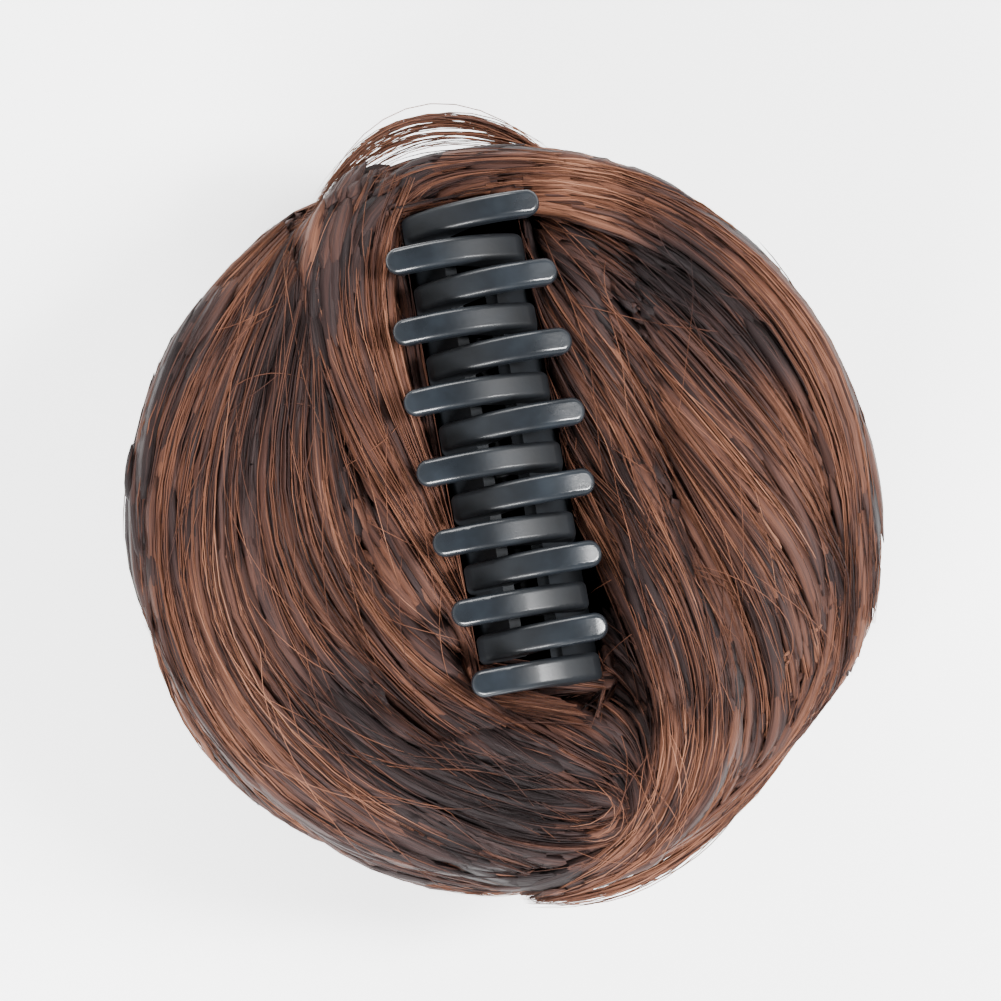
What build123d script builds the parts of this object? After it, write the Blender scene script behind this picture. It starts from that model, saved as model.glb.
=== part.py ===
"""A clip-on bun hairpiece: hanks of hair wound into a round bun about a sprung two-jaw claw.

It lies on its crown with the claw upwards. Millimetres, +Z up. The origin is the middle of
the flat on which the bun rests. The claw's row of teeth and its hinge run along Y.
"""

import math
import os
from collections import namedtuple

from build123d import *

os.makedirs("parts", exist_ok=True)

# The wound bun
bun_radius = 58.0
bun_height = 50.5
well_floor = 11.5
hair_gap = 0.3

# The well in which the claw sits
well_half_width = 23.5
well_half_length = 40.5
well_shoulder = 31.0
well_top = 62.0
well_floor_half_width = 16.0
well_floor_half_length = 23.0
well_corner = 7.0

# The claw and where it stands in the bun
claw_x = 1.5
claw_y = 8.0
pin_height = 31.0
teeth_per_jaw = 7
tooth_pitch = 10.55
tooth_width = 4.0
tooth_reach_shares = (0.92, 0.98, 1.0, 1.0, 0.96, 0.89, 0.81)
tooth_reach = 12.8
tooth_bow_radius = 17.0
tooth_bow_height = 9.0
tooth_bow_shift = 5.0
tooth_corner = 1.9
tooth_rounding = 0.85
row_shift = tooth_pitch / 4
half_row = (teeth_per_jaw - 1) * tooth_pitch / 2 + tooth_width / 2
shoulder_half_width = 7.6
shoulder_bend = 2.4
web_edge = 2.6
web_height = 19.6
shoulder_height = 13.0
tooth_root = 1.5
jaw_thickness = 2.1
jaw_reach = 16.0

# The hinge
pin_radius = 1.0
pin_clearance = 0.06
knuckle_radius = 3.0
knuckle_length = 3.2
knuckle_gap = 0.3
spring_space = 13.4
spring_wire = 0.9
spring_radius = 2.3
spring_turns = 6
spring_length = spring_space - 2 * spring_wire
lug_half_height = 2.0
neck_half_width = 4.4
neck_half_length = 15.5
neck_flare = 3.0
neck_bend = 3.0
waist_half_width = 7.0
waist_height = 7.0
core_thickness = 3.6
core_gap = 0.8
core_sink = 1.0
core_middle = neck_half_length + core_gap + core_thickness / 2
lug_starts = (spring_space / 2, -spring_space / 2 - 2 * knuckle_length - knuckle_gap)

# The finger levers
lever_length = 13.5
lever_angle = 40.0
lever_half_length = 13.5
lever_corner = 4.0

Row = namedtuple("Row", "angle radius height lean width thickness")


def hank(rows, width, thickness, growth=0.0):
    """Return a hank of hair: flat oval sections lofted along a path round the bun.

    A row's angle is round the bun, its radius is a share of the bun's radius and its height
    is a share of the bun's height. Lean is the way in which the hank's broad face looks, in
    degrees from straight up to outwards. Width and thickness are shares of the hank's own.
    Growth makes the same hank larger all round, to cut the groove in which it is seated.
    """
    points = []
    for row in rows:
        angle = math.radians(row.angle)
        reach = row.radius * bun_radius
        points.append(Vector(reach * math.cos(angle), reach * math.sin(angle), row.height * bun_height))
    path = Edge.make_spline(points)
    with BuildPart() as body:
        for index, row in enumerate(rows):
            place = points[index]
            along = path.tangent_at(path.param_at_point(place))
            if index == 0:
                place = place - along * growth
            if index == len(rows) - 1:
                place = place + along * growth
            angle = math.radians(row.angle)
            lean = math.radians(row.lean)
            outward = Vector(math.cos(angle), math.sin(angle), 0)
            facing = outward * math.sin(lean) + Vector(0, 0, math.cos(lean))
            with BuildSketch(Plane(origin=place, x_dir=along.cross(facing), z_dir=along)):
                with BuildLine():
                    for start in (0, 90, 180, 270):
                        EllipticalCenterArc(
                            (0, 0),
                            row.width * width / 2 + growth,
                            row.thickness * thickness / 2 + growth,
                            start_angle=start,
                            arc_size=90,
                        )
                make_face()
        loft()
    return body.part


# The rope round the right of the rim
rim_right_width = 10.0
rim_right_thickness = 7.5
rim_right_rows = [
    Row(104, 0.835, 0.97, 14, 0.25, 0.25),
    Row(92, 0.85, 0.965, 18, 0.80, 0.85),
    Row(70, 0.862, 0.95, 24, 1.00, 1.00),
    Row(45, 0.862, 0.95, 26, 1.00, 1.00),
    Row(20, 0.865, 0.94, 28, 0.96, 1.00),
    Row(-4, 0.90, 0.88, 42, 0.92, 0.95),
    Row(-24, 0.95, 0.76, 62, 0.80, 0.80),
    Row(-42, 0.97, 0.62, 80, 0.20, 0.20),
]

# The mass round the left of the rim
rim_left_width = 14.5
rim_left_thickness = 8.0
rim_left_rows = [
    Row(128, 0.92, 0.82, 52, 0.20, 0.20),
    Row(142, 0.885, 0.88, 40, 0.80, 0.80),
    Row(165, 0.85, 0.91, 32, 1.00, 1.00),
    Row(192, 0.84, 0.915, 30, 1.00, 1.00),
    Row(220, 0.845, 0.905, 32, 0.95, 0.95),
    Row(246, 0.87, 0.875, 40, 0.80, 0.85),
    Row(264, 0.905, 0.80, 50, 0.20, 0.20),
]

# The lock that comes over the top and down the claw's left side
swoosh_width = 12.0
swoosh_thickness = 13.0
swoosh_rows = [
    Row(97, 0.93, 0.85, 45, 0.60, 0.25),
    Row(108, 0.82, 0.935, 18, 1.00, 0.45),
    Row(116, 0.665, 0.92, 0, 0.98, 0.72),
    Row(125, 0.43, 0.85, 0, 1.00, 0.95),
    Row(162, 0.26, 0.825, 0, 0.98, 1.00),
    Row(217, 0.31, 0.825, 0, 0.96, 0.97),
    Row(239, 0.45, 0.86, 0, 0.82, 0.78),
    Row(259, 0.605, 0.935, 0, 0.66, 0.55),
    Row(272, 0.67, 0.975, 8, 0.28, 0.30),
]

# The lock beside the claw's right side
fan_width = 12.0
fan_thickness = 13.0
fan_rows = [
    Row(68, 0.76, 0.92, 0, 0.30, 0.20),
    Row(64, 0.70, 0.89, 0, 0.78, 0.55),
    Row(52, 0.485, 0.845, 0, 0.98, 0.95),
    Row(19, 0.315, 0.825, 0, 0.98, 1.00),
    Row(-30, 0.345, 0.825, 0, 0.94, 0.95),
    Row(-50, 0.46, 0.84, 0, 0.78, 0.65),
    Row(-60, 0.57, 0.88, 0, 0.28, 0.20),
]

# The lock that curls round the claw's lower right
curl_width = 11.0
curl_thickness = 6.4
curl_rows = [
    Row(9, 0.325, 0.985, -10, 0.20, 0.20),
    Row(-28, 0.40, 1.01, 0, 0.75, 0.70),
    Row(-45, 0.55, 1.03, 4, 0.90, 0.90),
    Row(-55, 0.71, 1.025, 10, 1.00, 1.00),
    Row(-66, 0.83, 0.985, 24, 1.05, 1.00),
    Row(-77.5, 0.905, 0.90, 44, 1.05, 1.00),
    Row(-88, 0.95, 0.79, 62, 0.85, 0.85),
    Row(-98, 0.965, 0.68, 76, 0.20, 0.20),
]

# The locks wound round the side and under the crown, from the crown upwards
wound_locks = 9
Wound = namedtuple("Wound", "radius height turn lobe")
wound_rows = [
    Wound(0.39, 0.00, 0, 0.010),
    Wound(0.52, 0.025, -18, 0.020),
    Wound(0.70, 0.105, -36, 0.035),
    Wound(0.86, 0.235, -53, 0.045),
    Wound(0.965, 0.41, -70, 0.048),
    Wound(0.995, 0.57, -86, 0.048),
    Wound(0.97, 0.73, -102, 0.045),
    Wound(0.905, 0.86, -118, 0.040),
    Wound(0.81, 0.945, -133, 0.032),
    Wound(0.70, 0.975, -147, 0.024),
    Wound(0.58, 0.955, -160, 0.018),
    Wound(0.46, 0.905, -172, 0.012),
]

# The airy loop above the top edge
top_loop_width = 5.0
top_loop_thickness = 1.6
top_loop_rows = [
    Row(69, 0.91, 0.84, 40, 0.60, 1.00),
    Row(76, 0.99, 0.83, 50, 0.80, 0.90),
    Row(84, 1.06, 0.80, 60, 1.00, 0.80),
    Row(92, 1.09, 0.78, 64, 1.00, 0.80),
    Row(100, 1.06, 0.78, 62, 0.90, 0.80),
    Row(107, 0.99, 0.79, 56, 0.80, 0.90),
    Row(113, 0.92, 0.80, 50, 0.60, 1.00),
]

# The loose tail at the bottom edge
tail_width = 4.5
tail_thickness = 2.2
tail_rows = [
    Row(-58, 0.975, 0.62, 74, 0.50, 0.80),
    Row(-66, 1.01, 0.66, 72, 0.90, 1.00),
    Row(-76, 1.035, 0.66, 72, 1.00, 1.00),
    Row(-87, 1.035, 0.62, 78, 0.90, 0.90),
    Row(-97, 1.01, 0.57, 84, 0.50, 0.60),
]

claw = Pos(claw_x, claw_y, pin_height)

def well():
    """Return the space in the wound base round the claw."""
    with BuildPart() as space:
        with BuildSketch(Plane.XY.offset(well_floor)):
            with Locations((claw_x, claw_y)):
                RectangleRounded(2 * well_floor_half_width, 2 * well_floor_half_length, well_corner)
        with BuildSketch(Plane.XY.offset(well_shoulder)):
            with Locations((claw_x, claw_y)):
                RectangleRounded(2 * well_half_width, 2 * well_half_length, well_corner)
        with BuildSketch(Plane.XY.offset(well_top)):
            with Locations((claw_x, claw_y)):
                RectangleRounded(2 * well_half_width, 2 * well_half_length, well_corner)
        loft(ruled=True)
    return space.part


well_space = well()

# The locks, from the lowest to the highest; each is seated in what lies under it
lock_tables = (
    ("swoosh_lock", swoosh_rows, swoosh_width, swoosh_thickness),
    ("fan_lock", fan_rows, fan_width, fan_thickness),
    ("rim_hank_left", rim_left_rows, rim_left_width, rim_left_thickness),
    ("rim_hank_right", rim_right_rows, rim_right_width, rim_right_thickness),
    ("tail_lock", tail_rows, tail_width, tail_thickness),
    ("top_loop", top_loop_rows, top_loop_width, top_loop_thickness),
    ("curl_lock", curl_rows, curl_width, curl_thickness),
)
locks = {}
seats = {}
for name, rows, width, thickness in lock_tables:
    locks[name] = hank(rows, width, thickness)
    seats[name] = hank(rows, width, thickness, growth=hair_gap)
lies_under = {
    "swoosh_lock": ("rim_hank_right", "curl_lock"),
    "fan_lock": ("rim_hank_right", "curl_lock"),
    "rim_hank_left": ("curl_lock",),
    "rim_hank_right": ("top_loop",),
    "tail_lock": ("curl_lock",),
}
for lower, uppers in lies_under.items():
    locks[lower] = locks[lower] - [seats[upper] for upper in uppers]

# The ring and crown of wound hair
with BuildPart() as wound_base:
    for row in wound_rows:
        with BuildSketch(Plane.XY.offset(row.height * bun_height)):
            with BuildLine():
                for index in range(wound_locks):
                    step = math.radians(360 / wound_locks)
                    start = math.radians(row.turn) + index * step
                    crest = row.radius * bun_radius
                    valley = crest - row.lobe * bun_radius
                    ThreePointArc(
                        (valley * math.cos(start), valley * math.sin(start)),
                        (crest * math.cos(start + step / 2), crest * math.sin(start + step / 2)),
                        (valley * math.cos(start + step), valley * math.sin(start + step)),
                    )
            make_face()
    loft()
    add(well_space, mode=Mode.SUBTRACT)
    add(seats.values(), mode=Mode.SUBTRACT)
    with BuildSketch(Plane.XY.offset(well_floor - core_sink)):
        with Locations((claw_x, claw_y - core_middle), (claw_x, claw_y + core_middle)):
            Rectangle(2 * knuckle_radius, core_thickness)
    extrude(amount=pin_height - well_floor + core_sink)
    with BuildSketch(Plane.XZ.offset(-claw_y)):
        with Locations((claw_x, pin_height)):
            Circle(knuckle_radius)
    extrude(amount=core_middle + core_thickness / 2, both=True)
    with BuildSketch(Plane.XZ.offset(-claw_y)):
        with Locations((claw_x, pin_height)):
            Circle(knuckle_radius + pin_clearance)
    extrude(amount=core_middle - core_thickness / 2, both=True, mode=Mode.SUBTRACT)
    with BuildSketch(Plane.XZ.offset(-claw_y)):
        with Locations((claw_x, pin_height)):
            Circle(pin_radius + pin_clearance)
    extrude(amount=core_middle + core_thickness, both=True, mode=Mode.SUBTRACT)
wound_base.part.label = "wound_base"


def on_bow(x):
    """Return the point of the teeth's bowed middle line at x across the claw."""
    return (x, tooth_bow_height + math.sqrt(tooth_bow_radius**2 - (x - tooth_bow_shift) ** 2))


def on_top(point):
    """Is the point on the outer face of the teeth?"""
    middle = Vector(tooth_bow_shift, point.Y, tooth_bow_height)
    return (point - middle).length > tooth_bow_radius or point.X < -shoulder_half_width


def tooth(reach):
    """Return one tooth of the left jaw, with its root down the plate and its edges rounded."""
    root = (-shoulder_half_width, shoulder_height - tooth_root)
    shoulder = on_bow(-shoulder_half_width)
    with BuildPart() as body:
        with BuildSketch(Plane.XZ):
            with BuildLine() as spine:
                Line(root, shoulder)
                ThreePointArc(shoulder, on_bow(0), on_bow(reach))
                fillet(spine.vertices().sort_by_distance((*shoulder, 0))[0], shoulder_bend)
            trace(line_width=jaw_thickness)
            with BuildLine():
                Polyline(root, shoulder, on_bow(-web_edge), on_bow(web_edge), (-web_edge, web_height), root)
            make_face()
        extrude(amount=tooth_width / 2, both=True)
        tip = body.edges().filter_by(lambda e: e.center().X > reach - jaw_thickness)
        fillet(tip.sort_by(SortBy.LENGTH)[:2], tooth_corner)
        above = body.edges().filter_by(lambda e: e.center().Z > shoulder_height)
        fillet(above.filter_by(lambda e: on_top(e.center())), tooth_rounding)
    return body.part


def jaw(reach_shares):
    """Return a jaw with its teeth pointing to +X: teeth, plate, lugs and lever, the pin along Y.

    The shares are of the teeth's full reach, from -Y to +Y.
    """
    lever = math.radians(lever_angle)
    lever_end = (-neck_half_width - lever_length * math.sin(lever), -lever_length * math.cos(lever))
    neck_bottom = -lever_length
    with BuildPart() as body:
        with BuildSketch(Plane.XZ):
            with BuildLine() as spine:
                Polyline(
                    lever_end,
                    (-neck_half_width, 0),
                    (-waist_half_width, waist_height),
                    (-shoulder_half_width, shoulder_height),
                    (-web_edge, web_height),
                )
                fillet(spine.vertices().sort_by(Axis.Z)[1:4], neck_bend)
            trace(line_width=jaw_thickness)
        extrude(amount=half_row + tooth_pitch, both=True)
        with BuildSketch(Plane.YZ.offset(-jaw_reach)):
            with BuildLine():
                top = web_height + jaw_thickness
                left = row_shift - half_row
                right = row_shift + half_row
                Line((left, top), (left, shoulder_height - tooth_root))
                Spline(
                    (left, shoulder_height - tooth_root),
                    (-neck_half_length - neck_flare, waist_height - neck_flare),
                    (-neck_half_length, 0),
                    tangents=[(0, -1), (0, -1)],
                )
                Line((-neck_half_length, 0), (-lever_half_length, neck_bottom))
                Line((-lever_half_length, neck_bottom), (lever_half_length, neck_bottom))
                Line((lever_half_length, neck_bottom), (neck_half_length, 0))
                Spline(
                    (neck_half_length, 0),
                    (neck_half_length + neck_flare, waist_height - neck_flare),
                    (right, shoulder_height - tooth_root),
                    tangents=[(0, 1), (0, 1)],
                )
                Line((right, shoulder_height - tooth_root), (right, top))
                Line((right, top), (left, top))
            make_face()
        extrude(amount=2 * jaw_reach, mode=Mode.INTERSECT)
        lever_corners = body.edges().filter_by(lambda e: e.center().Z < lever_end[1] + jaw_thickness)
        lever_corners = lever_corners.filter_by(lambda e: abs(e.length - jaw_thickness) < pin_clearance)
        fillet(lever_corners, lever_corner)
        for index, share in enumerate(reach_shares):
            with Locations((0, row_shift + (index - (teeth_per_jaw - 1) / 2) * tooth_pitch, 0)):
                add(teeth[share])
        for start in lug_starts:
            with BuildSketch(Plane.XZ.offset(-start)):
                Circle(knuckle_radius)
                with Locations((-neck_half_width / 2, 0)):
                    Rectangle(neck_half_width, 2 * lug_half_height)
            extrude(amount=-knuckle_length)
        with BuildSketch(Plane.XZ):
            Circle(pin_radius + pin_clearance)
        extrude(amount=neck_half_length, both=True, mode=Mode.SUBTRACT)
    return body.part


teeth = {share: tooth(tooth_reach * share) for share in tooth_reach_shares}

# The claw's two halves, their teeth shorter towards the same end
with BuildPart() as jaw_left:
    add(claw * jaw(tooth_reach_shares[::-1]))
jaw_left.part.label = "jaw_left"

with BuildPart() as jaw_right:
    add(claw * Rot(0, 0, 180) * jaw(tooth_reach_shares))
jaw_right.part.label = "jaw_right"

# The pin through both halves' lugs
with BuildPart() as hinge_pin:
    with BuildSketch(Plane.XZ.offset(-claw_y)):
        with Locations((claw_x, pin_height)):
            Circle(pin_radius)
    extrude(amount=core_middle + core_thickness / 2, both=True)
hinge_pin.part.label = "hinge_pin"

# The spring round the pin
with BuildPart() as coil_spring:
    coil = Helix(
        pitch=spring_length / spring_turns,
        height=spring_length,
        radius=spring_radius,
        center=(claw_x, claw_y - spring_length / 2, pin_height),
        direction=(0, 1, 0),
    )
    with BuildSketch(Plane(origin=coil @ 0, z_dir=coil % 0)):
        Circle(spring_wire / 2)
    sweep(path=coil)
coil_spring.part.label = "coil_spring"

for name, lock in locks.items():
    lock.label = name
    export_step(lock, f"parts/{name}.step")
for item in (wound_base, jaw_left, jaw_right, hinge_pin, coil_spring):
    export_step(item.part, f"parts/{item.part.label}.step")
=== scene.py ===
"""The looks of the clip-on bun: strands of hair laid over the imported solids, a glossy black claw,
a pale floor and soft light. It is laid out as an add-on and is run as a script."""

import math

import bmesh
import bpy
import numpy as np
from mathutils import Matrix, Vector
from mathutils.bvhtree import BVHTree


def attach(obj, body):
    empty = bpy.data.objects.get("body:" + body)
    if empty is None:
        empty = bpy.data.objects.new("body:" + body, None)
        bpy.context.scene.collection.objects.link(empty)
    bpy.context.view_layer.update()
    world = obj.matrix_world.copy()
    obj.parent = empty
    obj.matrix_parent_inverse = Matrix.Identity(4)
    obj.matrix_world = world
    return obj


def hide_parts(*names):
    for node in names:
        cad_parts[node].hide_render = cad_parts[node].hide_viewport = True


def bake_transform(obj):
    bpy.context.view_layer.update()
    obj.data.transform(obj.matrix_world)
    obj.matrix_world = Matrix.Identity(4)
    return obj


bl_info = {
    "name": "Clip-on hair bun",
    "version": (1, 0, 0),
    "blender": (4, 5, 0),
    "location": "3D View > Sidebar > Hair Bun",
    "description": "Lays strands of hair over the packed bun and finishes its claw",
    "category": "Object",
}

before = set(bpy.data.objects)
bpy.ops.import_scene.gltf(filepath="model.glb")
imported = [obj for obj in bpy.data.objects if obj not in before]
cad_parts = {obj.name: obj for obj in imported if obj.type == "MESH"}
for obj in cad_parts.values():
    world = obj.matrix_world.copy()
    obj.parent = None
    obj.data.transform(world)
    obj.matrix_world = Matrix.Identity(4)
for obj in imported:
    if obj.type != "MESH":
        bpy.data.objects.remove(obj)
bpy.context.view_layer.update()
MM = 0.001
rng = np.random.default_rng(7)

# Where the photograph was taken from, in the frame of the part
EYE = np.array([-0.0075, -0.0489, 0.4713])
EYE_ANGLES = tuple(math.radians(a) for a in (6.73, 0.18, -10.25))
PHOTO_SIZE = 1001
FOCAL_PIXELS = 2871.7
SENSOR = 36.0
FACE_MIDDLE = (502, 525)
FACE_REACH = 372
GUIDE_SOFTNESS = 150

# The claw's middle line and hinge, as in the part's source
CLAW_X, CLAW_Y, PIN_Z = 1.5 * MM, 8.0 * MM, 31.0 * MM
JAW_HALF_WIDTH = 8.9 * MM
CLAW_KEEP_OUT = 10.5 * MM
TIP_REACH = 14.4 * MM
ROW_HALF_LENGTH = 38.0 * MM
BOW_INNER_RADIUS = 15.9 * MM
BOW_SHIFT = 5.0 * MM
BOW_HEIGHT = 9.0 * MM
UNDER_TEETH = 0.9 * MM
BUN_RADIUS = 58.0 * MM
BUN_HEIGHT = 50.5 * MM

# The well round the claw, and the heights at which rays end that fall into it or miss the hair
WELL_HALF_WIDTH = 25.0 * MM
WELL_HALF_LENGTH = 42.0 * MM
WELL_CORNER = 46.0 * MM
WELL_LIP = 42.0 * MM
OVER_WELL = 45.0 * MM
BESIDE_HAIR = 30.0 * MM

# How far out from the claw's middle line the hair beside a jaw reaches, which is laid as a piece of its own
GIVE_LIMIT = 24.0 * MM

# The form of the strands: a lock's crest as a share of its width, and the size of its fine hairs
LOCK_CREST = 0.16
FIBRE_WIDTH = 0.25 * MM
FIBRE_LENGTH = 18 * MM
OVER_FLOOR = 0.03 * MM
WOUND_OVER_FLOOR = 0.15 * MM

# A sown strand ends where the hair turns down by this much, and is left out if it is this short
TURNED_DOWN = 0.25
FEWEST_POINTS = 4

# Where the teeth's gloss, and the lighter colour that leaves painted shade at their roots, start and are
# full, across from the middle line towards the tips
GLOSS_AND_SHADE_STARTS = -5 * MM
GLOSS_AND_SHADE_FULL = 9 * MM

# The solids that become cores, near black as painted shade in the gaps between strands: their voxels and how
# far they are drawn in, in millimetres
CORES = {
    "wound_base": (1.4, 1.4), "rim_hank_right": (1.0, 1.4), "rim_hank_left": (1.0, 1.4),
    "swoosh_lock": (1.0, 0.6), "fan_lock": (1.0, 0.6), "curl_lock": (1.0, 0.6),
}
ROUND_NODES = ("wound_base", "rim_hank_right", "rim_hank_left")

# Each flow of hair on the claw side: guide lines across it, drawn on the photograph in pixels
FLOWS = {
    "outer_left": [
        [(288, 226), (228, 272), (172, 348), (141, 430), (131, 530), (147, 640), (197, 740), (279, 823),
         (380, 876), (480, 893)],
        [(292, 240), (240, 300), (195, 380), (168, 460), (162, 545), (180, 645), (230, 737), (308, 810),
         (404, 860), (500, 884)],
        [(294, 256), (256, 325), (220, 405), (200, 480), (196, 555), (215, 640), (266, 724), (340, 792),
         (428, 840), (528, 870)],
        [(298, 276), (271, 345), (243, 425), (232, 500), (234, 565), (256, 632), (308, 706), (378, 766),
         (458, 814), (550, 852)],
    ],
    "mid_left": [
        [(302, 300), (281, 370), (262, 450), (264, 540), (294, 620), (348, 692), (414, 744), (492, 786),
         (576, 824)],
        [(308, 330), (296, 400), (290, 470), (302, 545), (338, 616), (392, 678), (452, 726), (522, 762),
         (598, 794)],
        [(320, 362), (323, 425), (332, 490), (354, 555), (392, 617), (441, 670), (498, 712), (560, 745),
         (618, 770)],
    ],
    "swoosh": [
        [(338, 160), (316, 188), (298, 238), (295, 292), (309, 348), (338, 412), (375, 482), (416, 560),
         (462, 635), (520, 695), (590, 738)],
        [(352, 165), (332, 196), (318, 246), (316, 300), (332, 356), (362, 426), (398, 497), (436, 570),
         (478, 640), (530, 692), (592, 728)],
        [(374, 174), (352, 206), (341, 256), (342, 310), (360, 366), (388, 435), (418, 505), (450, 575),
         (484, 642), (536, 690), (596, 716)],
        [(402, 180), (378, 213), (367, 262), (370, 318), (389, 378), (411, 445), (434, 512), (462, 580),
         (492, 655), (544, 700), (600, 722)],
        [(440, 184), (408, 217), (391, 262), (392, 318), (403, 372), (423, 440), (444, 510), (470, 580),
         (500, 668), (552, 708), (604, 728)],
    ],
    "top_left": [
        [(565, 158), (515, 155), (465, 158), (415, 164), (372, 176)],
        [(560, 178), (512, 174), (466, 178), (424, 190), (392, 214)],
        [(530, 198), (488, 198), (448, 208), (416, 236), (400, 275)],
    ],
    "claw_foot": [
        [(462, 700), (520, 722), (578, 745), (622, 780), (640, 830)],
        [(500, 690), (556, 704), (606, 728), (640, 765), (652, 812)],
        [(560, 680), (604, 690), (636, 715), (654, 755), (660, 800)],
        [(604, 620), (634, 650), (652, 695), (660, 745), (656, 800)],
    ],
    "rim": [
        [(440, 170), (520, 158), (610, 166), (700, 204), (780, 268), (838, 350), (868, 440), (876, 530),
         (866, 620)],
        [(450, 186), (524, 172), (608, 182), (692, 220), (768, 284), (822, 362), (852, 446), (862, 530),
         (856, 615)],
        [(462, 204), (528, 188), (604, 200), (682, 238), (752, 300), (804, 374), (836, 452), (850, 530),
         (846, 608)],
    ],
    "upper_fan": [
        [(530, 200), (590, 212), (655, 245), (718, 300), (770, 365), (808, 430), (835, 500)],
        [(540, 215), (592, 236), (652, 276), (712, 335), (764, 400), (806, 466), (838, 535)],
        [(545, 232), (598, 268), (656, 322), (715, 388), (768, 456), (812, 525), (842, 595)],
    ],
    "fan": [
        [(548, 245), (602, 300), (664, 366), (730, 440), (788, 516), (830, 595), (848, 670)],
        [(560, 272), (612, 340), (674, 420), (738, 508), (788, 596), (816, 680), (806, 745)],
        [(574, 305), (622, 385), (680, 476), (734, 570), (770, 660), (776, 742), (744, 802)],
        [(586, 350), (626, 430), (674, 520), (714, 610), (736, 698), (728, 776), (684, 834)],
        [(596, 400), (630, 468), (668, 550), (700, 632), (716, 712), (704, 786), (660, 846)],
    ],
    "right_side": [
        [(868, 500), (876, 580), (862, 670), (820, 750), (755, 818), (680, 866), (600, 892)],
        [(850, 520), (856, 600), (838, 680), (796, 752), (734, 812), (664, 858), (592, 884)],
        [(826, 560), (828, 630), (806, 700), (764, 762), (708, 812), (648, 852), (584, 876)],
    ],
    "curl": [
        [(584, 452), (632, 502), (676, 570), (704, 642), (714, 712), (702, 782), (666, 842), (610, 880),
         (545, 895)],
        [(572, 472), (616, 524), (656, 594), (684, 666), (692, 732), (676, 795), (640, 846), (590, 878),
         (530, 893)],
        [(562, 496), (600, 550), (634, 622), (658, 692), (664, 750), (648, 804), (612, 846), (566, 872),
         (512, 888)],
    ],
    "claw_left": [
        [(446, 196), (420, 232), (408, 275), (411, 330), (422, 384), (438, 446), (458, 512), (484, 582),
         (510, 655), (556, 706)],
        [(462, 200), (434, 236), (421, 282), (424, 335), (435, 390), (450, 448), (470, 516), (495, 588),
         (522, 660), (562, 702)],
    ],
    "claw_right": [
        [(500, 212), (535, 258), (572, 322), (616, 392), (664, 462)],
        [(516, 246), (546, 304), (582, 374), (626, 452), (668, 534)],
        [(530, 300), (556, 360), (592, 434), (634, 520), (668, 606)],
        [(544, 360), (568, 424), (604, 500), (642, 584), (668, 670)],
        [(556, 424), (582, 486), (614, 562), (644, 640), (662, 720)],
        [(574, 490), (598, 550), (624, 620), (646, 690), (656, 760)],
    ],
    "bottom": [
        [(330, 690), (385, 742), (455, 776), (530, 796), (600, 800), (650, 780)],
        [(300, 720), (365, 780), (445, 820), (525, 845), (600, 850), (655, 825)],
    ],
}

# Where the hair is painted darker as shade in its hollows, or painted lighter and more coppery as
# highlights, on the photograph: x, y, radius, change of tone
SHADE_AND_HIGHLIGHT_SPOTS = [
    (300, 330, 34, -0.34), (318, 395, 30, -0.22), (340, 720, 60, -0.22), (430, 775, 55, -0.28),
    (520, 790, 50, -0.28), (590, 770, 40, -0.22), (625, 490, 42, -0.26), (650, 570, 42, -0.22),
    (640, 650, 40, -0.24), (690, 284, 44, -0.50), (738, 330, 36, -0.40), (735, 205, 44, 0.16),
    (798, 268, 40, 0.16), (842, 345, 40, 0.14), (765, 360, 42, -0.30), (652, 268, 34, -0.24),
    (232, 640, 26, -0.20), (222, 470, 24, -0.18), (560, 260, 36, -0.14), (705, 700, 45, -0.14),
    (480, 725, 45, -0.20), (590, 172, 60, 0.20), (310, 230, 40, 0.14), (350, 350, 36, 0.10),
    (195, 700, 60, 0.12), (700, 430, 60, 0.08), (690, 760, 40, 0.16), (655, 650, 24, 0.10),
    (800, 620, 50, 0.06), (390, 560, 50, 0.06), (620, 860, 45, 0.14), (250, 780, 50, 0.10),
]

# The painted shade and highlight spots count in full on what lies this high and higher, and not at all below
# the start
SHADE_AND_HIGHLIGHT_FROM = 30 * MM
SHADE_AND_HIGHLIGHT_RISE = 12 * MM

# Single loose hairs on the photograph: their height over the hair in millimetres and their line
LOOSE = [
    (1.6, [(188, 334), (224, 331), (260, 316), (292, 295)]),
    (1.8, [(203, 424), (213, 376), (240, 336), (292, 303)]),
    (2.0, [(208, 412), (234, 384), (272, 372), (312, 380), (345, 408), (362, 436)]),
    (1.8, [(266, 408), (300, 405), (334, 414)]),
    (2.2, [(412, 698), (458, 730), (510, 776), (560, 842)]),
    (2.4, [(300, 720), (370, 790), (450, 812), (520, 800)]),
    (2.0, [(598, 548), (650, 560), (710, 580), (766, 614)]),
    (2.6, [(640, 560), (712, 568), (780, 606), (802, 650), (770, 690)]),
    (2.2, [(585, 596), (640, 566), (706, 572), (760, 600)]),
    (2.0, [(608, 236), (640, 296), (692, 330), (742, 340)]),
    (1.8, [(628, 334), (606, 300), (604, 262), (622, 226)]),
    (2.2, [(574, 700), (620, 640), (690, 612), (742, 640)]),
    (2.4, [(700, 650), (730, 700), (735, 760), (700, 812)]),
    (1.6, [(556, 862), (590, 820), (640, 806), (700, 822)]),
    (2.0, [(230, 560), (262, 620), (318, 668), (372, 690)]),
    (2.0, [(340, 470), (372, 452), (398, 430), (408, 404)]),
]

# The airy loop and the loose tail, as in the part's source: angle, radius and height
LOOP_ROWS = [
    (69, 0.91, 0.84), (76, 0.99, 0.83), (84, 1.06, 0.80), (92, 1.09, 0.78), (100, 1.06, 0.78),
    (107, 0.99, 0.79), (113, 0.92, 0.80),
]
TAIL_ROWS = [
    (-58, 0.975, 0.62), (-66, 1.01, 0.66), (-76, 1.035, 0.66), (-87, 1.035, 0.62), (-97, 1.01, 0.57),
]

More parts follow.
